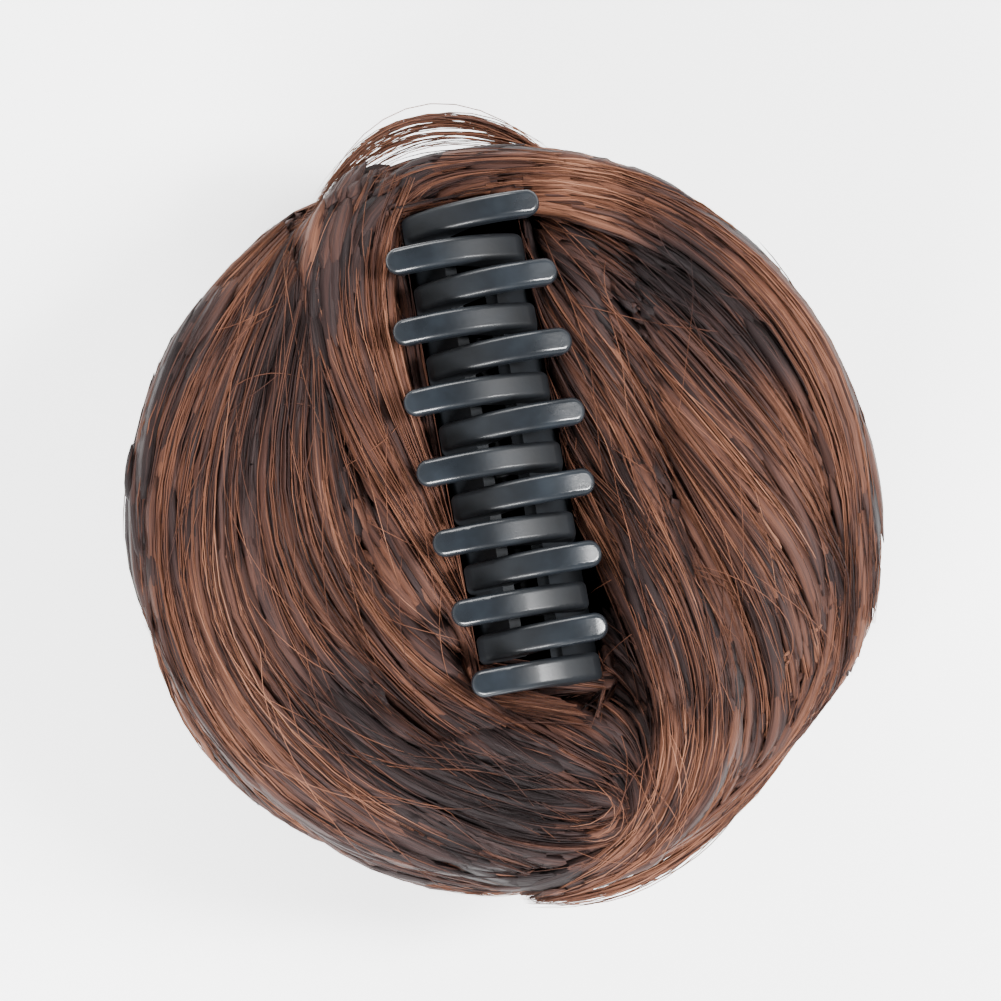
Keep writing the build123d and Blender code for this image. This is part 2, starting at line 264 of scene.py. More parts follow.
# The ropes round the rim, as in the part's source: angle, radius, height, lean, width, thickness
RIM_RIGHT = [
    (104, 0.835, 0.97, 14, 0.25, 0.25), (92, 0.85, 0.965, 18, 0.80, 0.85), (70, 0.862, 0.95, 24, 1.00, 1.00),
    (45, 0.862, 0.95, 26, 1.00, 1.00), (20, 0.865, 0.94, 28, 0.96, 1.00), (-4, 0.90, 0.88, 42, 0.92, 0.95),
    (-24, 0.95, 0.76, 62, 0.80, 0.80), (-42, 0.97, 0.62, 80, 0.20, 0.20),
]
RIM_LEFT = [
    (128, 0.92, 0.82, 52, 0.20, 0.20), (142, 0.885, 0.88, 40, 0.80, 0.80), (165, 0.85, 0.91, 32, 1.00, 1.00),
    (192, 0.84, 0.915, 30, 1.00, 1.00), (220, 0.845, 0.905, 32, 0.95, 0.95),
    (246, 0.87, 0.875, 40, 0.80, 0.85), (264, 0.905, 0.80, 50, 0.20, 0.20),
]
RIMS = (("rim_right", RIM_RIGHT, 10.0 * MM, 7.5 * MM), ("rim_left", RIM_LEFT, 14.5 * MM, 8.0 * MM))

# The wound form of the base, as in the part's source: radius and height shares, and turn in degrees
WOUND = [
    (0.05, 0.000, 30), (0.20, -0.002, 14), (0.39, 0.00, 0), (0.52, 0.025, -18), (0.70, 0.105, -36),
    (0.86, 0.235, -53), (0.965, 0.41, -70), (0.995, 0.57, -86), (0.97, 0.73, -102), (0.905, 0.86, -118),
    (0.81, 0.945, -133),
]

# How many flat locks and clumps of strands each flow has, and its tone
LAYERS = {
    "outer_left": (170, 62, 0.50), "mid_left": (130, 46, 0.46), "swoosh": (130, 60, 0.52),
    "top_left": (50, 18, 0.46), "claw_foot": (50, 16, 0.36), "rim": (110, 44, 0.56),
    "upper_fan": (80, 30, 0.50), "fan": (180, 66, 0.48), "right_side": (90, 34, 0.50),
    "curl": (90, 40, 0.56), "claw_left": (36, 18, 0.36), "claw_right": (60, 26, 0.42),
    "bottom": (40, 12, 0.30),
}

# The lights: name, place in metres, width and height, watts
LIGHTS = (
    ("right_box", (0.36, -0.04, 0.44), (0.10, 0.24), 9),
    ("front_box", (-0.30, -0.42, 0.36), (0.34, 0.10), 12),
    ("back_box", (-0.10, 0.55, 0.40), (0.60, 0.25), 7),
)
LIT_POINT = (0.0, 0.0, 0.03)
FLOOR_HALF = 3.0

# The sky: how high up, from 0 to 1, and how bright
SKY = ((0.15, 1.0), (0.95, 0.10))


def photo_axes():
    """Return the camera's axes as columns, from its angles."""
    turn = Matrix.Rotation(EYE_ANGLES[2], 3, "Z") @ Matrix.Rotation(EYE_ANGLES[1], 3, "Y")
    return np.array(turn @ Matrix.Rotation(EYE_ANGLES[0], 3, "X"))


AXES = photo_axes()


def merged_copy(names):
    """Return one bmesh of the named CAD nodes with their loose triangles joined."""
    work = bmesh.new()
    for name in names:
        work.from_mesh(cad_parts[name].data)
    bmesh.ops.remove_doubles(work, verts=work.verts, dist=1e-6)
    return work


def surface_of(names):
    """Return a search tree of the named nodes' surface."""
    work = merged_copy(names)
    tree = BVHTree.FromBMesh(work)
    work.free()
    return tree


CARRIER = surface_of(CORES)
BASE = surface_of(ROUND_NODES)


def curve_point(p0, p1, p2, p3, t):
    """Return a point between the middle two of four points, on a smooth curve through them."""
    slope = (p2 - p0) * t
    bend = (2 * p0 - 5 * p1 + 4 * p2 - p3) * t**2
    twist = (3 * p1 - p0 - 3 * p2 + p3) * t**3
    return 0.5 * (2 * p1 + slope + bend + twist)


def spread(points, count):
    """Return count points evenly placed on a smooth curve through the given ones."""
    points = np.asarray(points, float)
    ends = np.vstack([2 * points[0] - points[1], points, 2 * points[-1] - points[-2]])
    fine = []
    for i in range(len(points) - 1):
        for t in np.linspace(0, 1, 12, endpoint=False):
            fine.append(curve_point(*ends[i : i + 4], t))
    fine = np.array(fine + [points[-1]])
    lengths = np.r_[0, np.cumsum(np.linalg.norm(np.diff(fine, axis=0), axis=1))]
    at = np.linspace(0, lengths[-1], count)
    return np.stack([np.interp(at, lengths, fine[:, k]) for k in range(fine.shape[1])], axis=1)


def pixel_ray(pixel):
    """Return the way from the camera through a pixel of the photograph."""
    across, down = pixel[0] - PHOTO_SIZE / 2, pixel[1] - PHOTO_SIZE / 2
    way = AXES @ np.array([across / FOCAL_PIXELS, -down / FOCAL_PIXELS, -1.0])
    return way / np.linalg.norm(way)


def drop(pixel):
    """Return where the ray through a pixel meets the hair's solids, the way out of them there and
    whether it met them at all."""
    way = pixel_ray(pixel)
    place, normal, _, _ = CARRIER.ray_cast(Vector(EYE), Vector(way))
    met = place is not None
    if not met:
        guess = EYE + way * ((BESIDE_HAIR - EYE[2]) / way[2])
        place, normal, _, _ = CARRIER.find_nearest(Vector(guess))
    place = np.array(place)
    if inside_well(place):
        place = EYE + way * ((OVER_WELL - EYE[2]) / way[2])
        normal = (0.0, 0.0, 1.0)
    return place, np.array(normal, float), met


def drop_line(pixels):
    """Return the places, the ways out and whether each ray met the hair, along a line of pixels."""
    places, outward, met = zip(*(drop(pixel) for pixel in pixels))
    return np.array(places), np.array(outward), np.array(met)


def inside_well(place):
    """Return whether a place is in the open well, where no strand lies."""
    x, y = place[0] - CLAW_X, place[1] - CLAW_Y
    within = abs(x) < WELL_HALF_WIDTH and abs(y) < WELL_HALF_LENGTH and math.hypot(x, y) < WELL_CORNER
    return within and place[2] < WELL_LIP


def close_in(out):
    """Return how far strands may stand off, less where the hair turns down at the outline."""
    return (0.25 + 0.75 * np.clip(out[:, 2] * 1.8, 0, 1))[:, None]


def smooth(path, passes=2):
    """Even out a path in place, with its ends held, and return it."""
    for _ in range(passes):
        path[1:-1] = (path[:-2] + 2 * path[1:-1] + path[2:]) / 4
    return path


def clear_of_claw(path, margin=0.0):
    """Move the points of a path out of the claw's plates and down from under its teeth."""
    side = JAW_HALF_WIDTH + margin
    x, y = path[:, 0] - CLAW_X, path[:, 1] - CLAW_Y
    beside = np.abs(y) < ROW_HALF_LENGTH
    inside = beside & (np.abs(x) < side)
    path[inside, 0] = CLAW_X + np.where(x[inside] < 0, -side, side)
    x = np.abs(path[:, 0] - CLAW_X)
    under = beside & (x < TIP_REACH)
    bow = np.sqrt(np.maximum(BOW_INNER_RADIUS**2 - (x - BOW_SHIFT) ** 2, 0))
    cap = PIN_Z + BOW_HEIGHT + bow - UNDER_TEETH
    path[under, 2] = np.minimum(path[under, 2], cap[under])
    return path


def wave(count, size, turns):
    """Return a slow random wave along a strand."""
    t = np.linspace(0, 1, count)
    total = np.zeros(count)
    for k in range(1, turns + 1):
        total += rng.normal() / k * np.sin(math.pi * k * t + rng.uniform(0, 2 * math.pi))
    return total * size


def to_pixels(path):
    """Return where points are seen on the photograph."""
    seen = (path - EYE) @ AXES
    return np.stack([seen[:, 0], -seen[:, 1]], axis=1) * FOCAL_PIXELS / -seen[:, 2:] + PHOTO_SIZE / 2


def shade(path):
    """Return the change of tone along a path from the spots: painted shade and painted highlights."""
    pixels = to_pixels(path)
    total = np.zeros(len(path))
    facing = np.clip((path[:, 2] - SHADE_AND_HIGHLIGHT_FROM) / SHADE_AND_HIGHLIGHT_RISE, 0, 1)
    for x, y, radius, change in SHADE_AND_HIGHLIGHT_SPOTS:
        away = (pixels[:, 0] - x) ** 2 + (pixels[:, 1] - y) ** 2
        total += change * np.exp(-away / (2 * (0.6 * radius) ** 2))
    return total * facing


def strand(path, outward, tone, width=0.0):
    """Return one strand, or one flat lock where it has a width."""
    # The tone takes in the painted shade and painted highlights of the spots
    return {"path": path, "out": outward, "tone": np.clip(tone + shade(path), 0.02, 1), "width": width}


def cut_to(values, start, end, points):
    """Return a stretch of a path, between two shares of it, in so many points."""
    t = np.linspace(start, end, points) * (len(values) - 1)
    return np.stack([np.interp(t, np.arange(len(values)), values[:, a]) for a in range(3)], axis=1)


def flow_sheet(guides, points):
    """Return places on the hair's solids and the ways out of them, along and across the guides."""
    lines = np.array([spread(g, points) for g in guides])
    rows = len(lines) * 3 - 2
    places, outward = np.zeros((rows, points, 3)), np.zeros((rows, points, 3))
    for row, s in enumerate(np.linspace(0, len(lines) - 1, rows)):
        low = min(int(s), len(lines) - 2)
        line = lines[low] * (1 - (s - low)) + lines[low + 1] * (s - low)
        places[row], outward[row], _ = drop_line(line)
        smooth(places[row])
        smooth(outward[row], 3)
    outward /= np.linalg.norm(outward, axis=2)[:, :, None]
    return places, outward


def on_sheet(sheet, across):
    """Return the places and the ways out at shares of the width of a sheet, all along it."""
    places, outward = sheet
    s = np.clip(across * (len(places) - 1), 0, len(places) - 1 - 1e-6)
    low = s.astype(int)
    part = (s - low)[:, None]
    k = np.arange(len(s))
    return (
        places[low, k] * (1 - part) + places[low + 1, k] * part,
        outward[low, k] * (1 - part) + outward[low + 1, k] * part,
    )


def flow_strands(sheet, clumps, per_clump, lift=(0.3, 1.4), tone=0.5, points=12):
    """Return fine strands in clumps that follow a sheet."""
    long = sheet[0].shape[1]
    found = []
    for _ in range(clumps):
        middle = rng.uniform(-0.03, 1.03)
        height = rng.uniform(*lift) * MM
        clump_wave = wave(long, 0.022, 3)
        clump_tone = tone + rng.normal() * 0.15
        width = rng.uniform(0.005, 0.028)
        first, last = rng.uniform(-0.12, 0.3), rng.uniform(0.65, 1.12)
        for _ in range(per_clump):
            own = rng.normal() * width
            pinch = 0.4 + 0.6 * np.abs(np.linspace(-1, 1, long)) ** 1.5
            base, out = on_sheet(sheet, middle + clump_wave + own * pinch + wave(long, 0.008, 4))
            rise = height + rng.normal() * 0.3 * MM + wave(long, 0.25 * MM, 3)
            path = base + out * close_in(out) * np.maximum(rise, 0.1 * MM)[:, None]
            start = np.clip(first + rng.normal() * 0.08, 0, 0.5)
            end = np.clip(last + rng.normal() * 0.08, start + 0.3, 1)
            path, out = cut_to(path, start, end, points), cut_to(out, start, end, points)
            found.append(strand(clear_of_claw(path), out, clump_tone + rng.normal() * 0.08))
    return found


def flow_locks(sheet, count, lift=(0.1, 1.0), tone=0.4, width=(1.0, 3.0), points=13):
    """Return flat locks that follow a sheet."""
    long = sheet[0].shape[1]
    found = []
    for _ in range(count):
        base, out = on_sheet(sheet, rng.uniform(-0.02, 1.02) + wave(long, 0.02, 3))
        rise = rng.uniform(*lift) * MM + wave(long, 0.2 * MM, 3)
        path = base + out * close_in(out) * np.maximum(rise, 0.05 * MM)[:, None]
        start = max(rng.uniform(-0.2, 0.4), 0)
        end = min(start + rng.uniform(0.4, 1.0), 1)
        path, out = cut_to(path, start, end, points), cut_to(out, start, end, points)
        broad = rng.uniform(*width) * MM
        found.append(strand(clear_of_claw(path, broad / 2), out, tone + rng.normal() * 0.14, broad))
    return found


def guide_field():
    """Return points of all the guide lines and twice their angles there."""
    points, angles = [], []
    for guides in FLOWS.values():
        for guide in guides:
            line = spread(guide, 14)
            step = np.gradient(line, axis=0)
            points.append(line)
            angles.append(2 * np.arctan2(step[:, 1], step[:, 0]))
    return np.concatenate(points), np.concatenate(angles)


def field_strands(count, lift, tone, width=None, points=12, step=13.0, sway=0.05, reach=FACE_REACH):
    """Return strands or flat locks sown over the whole claw side, along the nearest guides."""
    at, double = guide_field()
    radius = reach * np.sqrt(rng.uniform(0, 1, count))
    angle = rng.uniform(0, 2 * math.pi, count)
    here = FACE_MIDDLE + np.stack([radius * np.cos(angle), radius * np.sin(angle)], axis=1)
    heading = np.zeros((count, 2))
    line = np.zeros((count, points, 2))
    stride = step * rng.uniform(0.7, 1.5, count)[:, None]
    bend = rng.normal(0, sway, count)
    for k in range(points):
        line[:, k] = here
        weight = 1 / (((here[:, None] - at[None]) ** 2).sum(2) + GUIDE_SOFTNESS) ** 2
        upward, onward = (weight * np.sin(double)).sum(1), (weight * np.cos(double)).sum(1)
        way = 0.5 * np.arctan2(upward, onward) + bend
        new = np.stack([np.cos(way), np.sin(way)], axis=1)
        flip = np.where((new * heading).sum(1) < 0, -1.0, 1.0) if k else rng.choice([-1.0, 1.0], count)
        heading = new * flip[:, None]
        here = here + heading * stride
    found = []
    for row in line:
        path, out, met = drop_line(row)
        over_row = np.abs(path[:, 1] - CLAW_Y) < ROW_HALF_LENGTH + MM
        in_claw = over_row & (np.abs(path[:, 0] - CLAW_X) < CLAW_KEEP_OUT)
        lost = in_claw | ~met | (out[:, 2] < TURNED_DOWN)
        if lost[:FEWEST_POINTS].any():
            continue
        if lost.any():
            end = int(np.argmax(lost))
            path, out = path[:end], out[:end]
        smooth(path)
        smooth(out, 3)
        out /= np.maximum(np.linalg.norm(out, axis=1), 1e-6)[:, None]
        path = path + out * (rng.uniform(*lift) * MM + np.abs(wave(len(path), 0.2 * MM, 3)))[:, None]
        broad = rng.uniform(*width) * MM if width else 0.0
        found.append(strand(clear_of_claw(path, broad / 2), out, tone + rng.normal() * 0.13, broad))
    return found


def loose_strands(points=16):
    """Return the single hairs that arch over the others."""
    found = []
    for rise, line in LOOSE:
        path, out, _ = drop_line(spread(line, points))
        smooth(path, 6)
        path[:, 2] += rise * MM * (0.25 + 0.75 * np.sin(math.pi * np.linspace(0, 1, points)))
        found.append(strand(clear_of_claw(path), smooth(out, 4), 0.72))
    return found


def row_values(rows, start, end, points):
    """Return the columns of a row table at points between two shares of its length."""
    t = np.linspace(start, end, points) * (len(rows) - 1)
    return [np.interp(t, np.arange(len(rows)), column) for column in np.array(rows, float).T]


def sheaf(rows, count, spread_out, tone, points=14):
    """Return strands that leave one end of a row table, part in the middle and meet again."""
    found = []
    for _ in range(count):
        angle, radius, height = row_values(rows, rng.uniform(0, 0.12), rng.uniform(0.88, 1), points)
        belly = np.sin(math.pi * np.linspace(0.04, 0.96, points))
        low, inward = rng.normal() * spread_out[0] * MM, -rng.beta(1.3, 2.6) * spread_out[1] * MM
        reach = radius * BUN_RADIUS + belly * inward + wave(points, 0.5 * MM, 3)
        level = height * BUN_HEIGHT + belly * low + wave(points, 0.5 * MM, 3)
        turn = np.radians(angle)
        path = np.stack([reach * np.cos(turn), reach * np.sin(turn), level], axis=1)
        outward = np.stack([np.cos(turn), np.sin(turn), np.zeros(points)], axis=1)
        found.append(strand(smooth(path, 3), outward, tone + rng.normal() * 0.14))
    return found


def rope(rows, width, thickness, count, tone, broad=None, points=14):
    """Return strands, or locks where a breadth is given, laid round a rope's own section."""
    found = []
    for _ in range(count):
        values = row_values(rows, rng.uniform(0, 0.25), rng.uniform(0.7, 1), points)
        angle, radius, height, lean, wide, thick = values
        turn, lean = np.radians(angle)[:, None], np.radians(lean)[:, None]
        outward = np.concatenate([np.cos(turn), np.sin(turn), 0 * turn], axis=1)
        middle = outward * (radius * BUN_RADIUS)[:, None]
        middle[:, 2] = height * BUN_HEIGHT
        smooth(middle)
        facing = outward * np.sin(lean)
        facing[:, 2] = np.cos(lean)[:, 0]
        along = np.gradient(middle, axis=0)
        side = np.cross(along, facing)
        side /= np.linalg.norm(side, axis=1)[:, None]
        place = rng.uniform(-0.5, math.pi + 0.5) + wave(points, 0.12, 3) + 0.5 * np.linspace(0, 1, points)
        across, up = np.cos(place)[:, None] * side, np.sin(place)[:, None] * facing
        out = across / width + up / thickness
        out /= np.linalg.norm(out, axis=1)[:, None]
        path = middle + across * (wide * width / 2)[:, None] + up * (thick * thickness / 2)[:, None]
        path = path + out * (rng.uniform(-0.3, 0.3) * MM)
        shift = rng.normal() * 0.14
        breadth = rng.uniform(*broad) * MM if broad else 0.0
        found.append(strand(path, out, tone + shift, breadth))
    return found


def wound_strands(clumps, per_clump, points=16, lift=(0.0, 0.6), tone=0.44, width=None):
    """Return strands wound round the side and under the crown, along the base's own locks."""
    found = []
    for _ in range(clumps):
        angle = rng.uniform(0, 360)
        start = rng.choice([rng.uniform(0.0, 0.15), rng.uniform(0.15, 0.5)])
        end = min(start + rng.uniform(0.45, 0.9), 1.0)
        height = rng.uniform(*lift) * MM
        clump_tone = tone + rng.normal() * 0.16
        swing = wave(points, 3.0, 3)
        for _ in range(per_clump):
            first, last = max(start + rng.normal() * 0.03, 0), min(end + rng.normal() * 0.04, 1)
            radius, level, wound = row_values(WOUND, first, last, points)
            turn = np.radians(wound + angle + swing + rng.normal() * 1.6 + wave(points, 0.7, 4))
            reach = radius * BUN_RADIUS
            guesses = np.stack([reach * np.cos(turn), reach * np.sin(turn), level * BUN_HEIGHT], axis=1)
            nearest = [BASE.find_nearest(Vector(guess)) for guess in guesses]
            path, out = np.array([n[0] for n in nearest]), np.array([n[1] for n in nearest])
            smooth(out, 2)
            path = smooth(path, 1) + out * (height + rng.normal() * 0.08 * MM)
            path[:, 2] = np.maximum(path[:, 2], WOUND_OVER_FLOOR)
            broad = rng.uniform(*width) * MM if width else 0.0
            found.append(strand(path, out, clump_tone + rng.normal() * 0.13, broad))
    return found


def unit(vectors):
    """Return vectors at a length of one."""
    return vectors / np.maximum(np.linalg.norm(vectors, axis=1), 1e-9)[:, None]


def strand_tube(item, radius):
    """Return the corners of one strand's tube, three at each of its points, flat for a lock."""
    path = item["path"]
    along = unit(np.gradient(path, axis=0))
    side = unit(np.cross(along, item["out"]))
    up = np.cross(side, along)
    share = np.linspace(0, 1, len(path))
    taper = np.interp(share, (0, 0.15, 0.75, 1), (0.3, 1, 0.9, 0.15))[:, None, None]
    third = 2 * math.pi / 3
    if item["width"]:
        ring = np.array([(-0.5, 0.0), (0.0, LOCK_CREST), (0.5, 0.0)]) * item["width"]
    else:
        ring = np.array([(math.sin(a), math.cos(a)) for a in (-third, 0.0, third)]) * radius
    tube = path[:, None] + taper * (ring[None, :, :1] * side[:, None] + ring[None, :, 1:] * up[:, None])
    tube[:, :, 2] = np.maximum(tube[:, :, 2], OVER_FLOOR)
    return tube.reshape(-1, 3)


def tube_faces(count, first):
    """Return the four-sided faces of a tube of so many points that starts at a corner."""
    here = np.arange(count - 1)[:, None] * 3 + first
    corner = np.arange(3)[None]
    after = (corner + 1) % 3
    faces = [here + corner, here + 3 + corner, here + 3 + after, here + after]
    return np.stack(faces, axis=2).reshape(-1, 4)


def strand_uvs(item, number):
    """Return the two sets of UVs of one strand's faces."""
    path, count = item["path"], len(item["path"])
    share = np.linspace(0, 1, count)
    low, high = np.repeat(share[:-1], 3), np.repeat(share[1:], 3)
    tone_low, tone_high = np.repeat(item["tone"][:-1], 3), np.repeat(item["tone"][1:], 3)
    tones = np.stack([low, tone_low, high, tone_high, high, tone_high, low, tone_low], axis=1)
    breadth = item["width"] / FIBRE_WIDTH
    own = 97 * (number % 41)
    left = np.tile(np.array([0.0, 0.5, 1.0]) * breadth, count - 1) + own
    right = np.tile(np.array([0.5, 1.0, 0.0]) * breadth, count - 1) + own
    length = np.linalg.norm(np.diff(path, axis=0), axis=1).sum()
    low, high = (end * length / FIBRE_LENGTH + number * 0.37 for end in (low, high))
    fibres = np.stack([left, low, left, high, right, high, right, low], axis=1)
    return tones.reshape(-1, 2), fibres.reshape(-1, 2)


def strand_object(name, strands, radius):
    """Return one mesh of many closed three-sided tubes, thin for strands and flat for locks.

    The UVs of "strand" hold the share of the length and the tone; those of "fibre" count the
    fine hairs across and run slowly along them.
    """
    corners, faces, ends, tones, fibres = [], [], [], [], []
    total = 0
    for number, item in enumerate(strands, 1):
        count = len(item["path"])
        corners.append(strand_tube(item, radius))
        faces.append(tube_faces(count, total))
        ends += [(total, total + 1, total + 2), tuple(total + count * 3 - c for c in (1, 2, 3))]
        tone_part, fibre_part = strand_uvs(item, number)
        tones.append(tone_part)
        fibres.append(fibre_part)
        total += count * 3
    corners, faces, ends = np.concatenate(corners), np.concatenate(faces), np.array(ends)
    mesh = bpy.data.meshes.new(name)
    mesh.vertices.add(len(corners))
    mesh.vertices.foreach_set("co", corners.astype(np.float32).ravel())
    loops = np.concatenate([faces.ravel(), ends.ravel()])
    starts = np.concatenate([np.arange(0, faces.size, 4), faces.size + np.arange(0, ends.size, 3)])
    mesh.loops.add(len(loops))
    mesh.loops.foreach_set("vertex_index", loops.astype(np.int32))
    mesh.polygons.add(len(starts))
    mesh.polygons.foreach_set("loop_start", starts.astype(np.int32))
    mesh.polygons.foreach_set("use_smooth", np.ones(len(starts), bool))
    for layer_name, values in (("strand", tones), ("fibre", fibres)):
        values = np.concatenate(values + [np.full((ends.size, 2), 0.3)])
        layer = mesh.uv_layers.new(name=layer_name)
        layer.data.foreach_set("uv", values.astype(np.float32).ravel())
    mesh.update(calc_edges=True)
    mesh.validate()
    piece = bpy.data.objects.new(name, mesh)
    bpy.context.scene.collection.objects.link(piece)
    return piece


class Value:
    """A shader socket that takes part in Python expressions."""

    def __init__(self, shader, socket):
        self.shader, self.socket = shader, socket

    def _math(self, operation, other, swap=False):
        values = [other, self] if swap else [self, other]
        return self.shader.node("ShaderNodeMath", {"operation": operation}, dict(enumerate(values)))

    def __add__(self, other):
        return self._math("ADD", other)

    __radd__ = __add__

    def __sub__(self, other):
        return self._math("SUBTRACT", other)

    def __rsub__(self, other):
        return self._math("SUBTRACT", other, swap=True)

    def __mul__(self, other):
        return self._math("MULTIPLY", other)

    __rmul__ = __mul__


class Shader:
    """The nodes of a material or a world while it is being built."""

    def __init__(self, owner):
        owner.use_nodes = True
        self.owner = owner
        self.tree = owner.node_tree
        self.tree.nodes.clear()

    def node(self, kind, settings=None, inputs=None, out=0):
        """Add a node with its settings and inputs, and return the output that is asked for."""
        made = self.tree.nodes.new(kind)
        for key, value in (settings or {}).items():
            if key == "stops":
                ramp = made.color_ramp
                while len(ramp.elements) < len(value):
                    ramp.elements.new(0.5)
                for element, (at, colour) in zip(ramp.elements, value):
                    element.position = at
                    element.color = (*colour, 1)
            else:
                setattr(made, key, value)
        for key, value in (inputs or {}).items():
            socket = made.inputs[key]
            if isinstance(value, Value):
                self.tree.links.new(value.socket, socket)
            else:
                socket.default_value = value
        return Value(self, made.outputs[out])

    def noise(self, place, scale, detail):
        """Add a noise pattern of a scale per metre."""
        inputs = {"Vector": place, "Scale": scale, "Detail": detail}
        return self.node("ShaderNodeTexNoise", None, inputs)

    def ramp(self, stops, mask):
        """Turn a mask into colours."""
        return self.node("ShaderNodeValToRGB", {"stops": stops}, {"Fac": mask})

    def bump(self, height, strength, distance):
        """Turn a height into relief."""
        inputs = {"Height": height, "Strength": strength, "Distance": distance}
        return self.node("ShaderNodeBump", None, inputs)

    def object_place(self):
        """Return the place on the piece in the part's frame."""
        return self.node("ShaderNodeTexCoord", None, None, out=3)

    def close(self, kind, output, inputs):
        """Join the last shader to the output and return the material or world."""
        last = self.node(kind, None, inputs)
        end = self.tree.nodes.new(output)
        self.tree.links.new(last.socket, end.inputs["Surface"])
        return self.owner

    def finish(self, **inputs):
        """Close a material with a principled shader and return it."""
        named = {key.replace("_", " "): value for key, value in inputs.items()}
        return self.close("ShaderNodeBsdfPrincipled", "ShaderNodeOutputMaterial", named)


def new_shader(name):
    """Start a material of this name."""
    return Shader(bpy.data.materials.new(name))


def hair_material(name, relief):
    """Dark brown to copper hair: tone from the UVs, split into fine fibres across each lock."""
    shader = new_shader(name)
    strand_place = shader.node("ShaderNodeUVMap", {"uv_map": "strand"})
    tone = shader.node("ShaderNodeSeparateXYZ", None, {0: strand_place}, out=1)
    fibre = shader.node("ShaderNodeUVMap", {"uv_map": "fibre"})
    fine = shader.node("ShaderNodeTexNoise", {"noise_dimensions": "2D"}, {
        "Vector": fibre, "Scale": 1.0, "Detail": 2.0, "Roughness": 0.65,
    })
    cloud = shader.noise(shader.object_place(), 45.0, 0.0)
    colour = shader.ramp([
        (0.0, (0.0100, 0.0068, 0.0070)),
        (0.25, (0.0235, 0.0130, 0.0120)),
        (0.45, (0.0520, 0.0235, 0.0175)),
        (0.62, (0.0900, 0.0365, 0.0220)),
        (0.80, (0.1400, 0.0580, 0.0340)),
        (1.0, (0.2350, 0.1100, 0.0680)),
    ], tone + (fine - 0.5) * 0.6 + (cloud - 0.5) * 0.5)
    inputs = {"Base_Color": colour, "Roughness": 0.5 + cloud * 0.16, "IOR": 1.45, "Specular_IOR_Level": 0.13}
    if relief:
        inputs["Normal"] = shader.bump(fine, 0.7, 0.3 * MM)
    return shader.finish(**inputs)


def core_material(name):
    """The mass under the strands, coloured near black as painted shade in the gaps between them, with fine
    fibre relief.
    """
    shader = new_shader(name)
    place = shader.object_place()
    fine = shader.noise(place, 900.0, 3.0)
    broad = shader.noise(place, 90.0, 2.0)
    # Near black, darker than any strand: painted shade where the core shows between the strands
    colour = shader.ramp([
        (0.3, (0.0030, 0.0018, 0.0015)), (0.55, (0.0100, 0.0050, 0.0038)), (0.85, (0.0300, 0.0120, 0.0075)),
    ], fine * 0.6 + broad * 0.4)
    bump = shader.bump(fine, 0.6, 0.3 * MM)
    return shader.finish(Base_Color=colour, Roughness=0.7 + fine * 0.2, Normal=bump, Specular_IOR_Level=0.1)


def plastic_material(name, side):
    """Black moulded plastic, glossy towards the teeth's tips and dull at the roots, its colour darkened
    towards the roots as painted shade.
    """
    shader = new_shader(name)
    place = shader.object_place()
    across = shader.node("ShaderNodeSeparateXYZ", None, {0: place}, out=0)
    gloss_and_root_shade = shader.node("ShaderNodeMapRange", {"interpolation_type": "SMOOTHSTEP"}, {
        0: (across - CLAW_X) * side, 1: GLOSS_AND_SHADE_STARTS, 2: GLOSS_AND_SHADE_FULL, 3: 0.0, 4: 1.0,
    })
    bloom = shader.noise(place, 220.0, 4.0)
    marks = shader.noise(place, 1500.0, 2.0)
    # The colour darkens towards the teeth's roots: painted shade
    colour = shader.ramp([
        (0.2, (0.0030, 0.0034, 0.0042)), (0.55, (0.0062, 0.0078, 0.0100)), (0.9, (0.0130, 0.0170, 0.0220)),
    ], bloom * 0.7 + gloss_and_root_shade * 0.3)
    bump = shader.bump(marks * 0.5 + bloom * 0.5, 0.16, 0.2 * MM)
    return shader.finish(
        Base_Color=colour, Roughness=0.5 - gloss_and_root_shade * 0.28 + bloom * 0.12, Normal=bump, Coat_Weight=gloss_and_root_shade * 0.55,
        Coat_Roughness=0.16, Specular_IOR_Level=0.2,
    )


def steel_material(name):
    """Plain drawn steel of the pin and the spring."""
    shader = new_shader(name)
    fine = shader.noise(shader.object_place(), 1800.0, 2.0)
    colour = shader.ramp([(0.2, (0.40, 0.41, 0.43)), (0.8, (0.62, 0.63, 0.65))], fine)
    return shader.finish(Base_Color=colour, Roughness=0.24 + fine * 0.16, Metallic=1.0)


def floor_material(name):
    """A floor that is bright by itself, so that it stays near white."""
    shader = new_shader(name)
    fine = shader.noise(shader.object_place(), 14.0, 2.0)
    colour = shader.ramp([(0.3, (0.93, 0.93, 0.93)), (0.7, (0.95, 0.95, 0.95))], fine)
    shader.owner.cycles.emission_sampling = "NONE"
    white = (1.0, 1.0, 1.0, 1.0)
    return shader.finish(Base_Color=colour, Roughness=0.9, Emission_Color=white, Emission_Strength=1.2)


def studio_sky():
    """A sky that is bright near the floor and dark overhead, with a touch of blue."""
    world = bpy.data.worlds.new("studio")
    shader = Shader(world)
    place = shader.node("ShaderNodeTexCoord")
    height = shader.node("ShaderNodeSeparateXYZ", None, {0: place}, out=2)
    colour = shader.ramp([(at, (level * 0.97, level * 0.985, level)) for at, level in SKY], height)
    inputs = {"Color": colour, "Strength": 1.5}
    return shader.close("ShaderNodeBackground", "ShaderNodeOutputWorld", inputs)


MAKERS = {
    "hair_locks": (hair_material, True), "hair_strands": (hair_material, False),
    "hair_core": (core_material,), "steel": (steel_material,), "floor": (floor_material,),
    "plastic_left": (plastic_material, 1), "plastic_right": (plastic_material, -1),
}
MATERIALS = {}


def material(name):
    """Return a finish, made once."""
    if name not in MATERIALS:
        maker, *settings = MAKERS[name]
        MATERIALS[name] = maker(name, *settings)
    return MATERIALS[name]


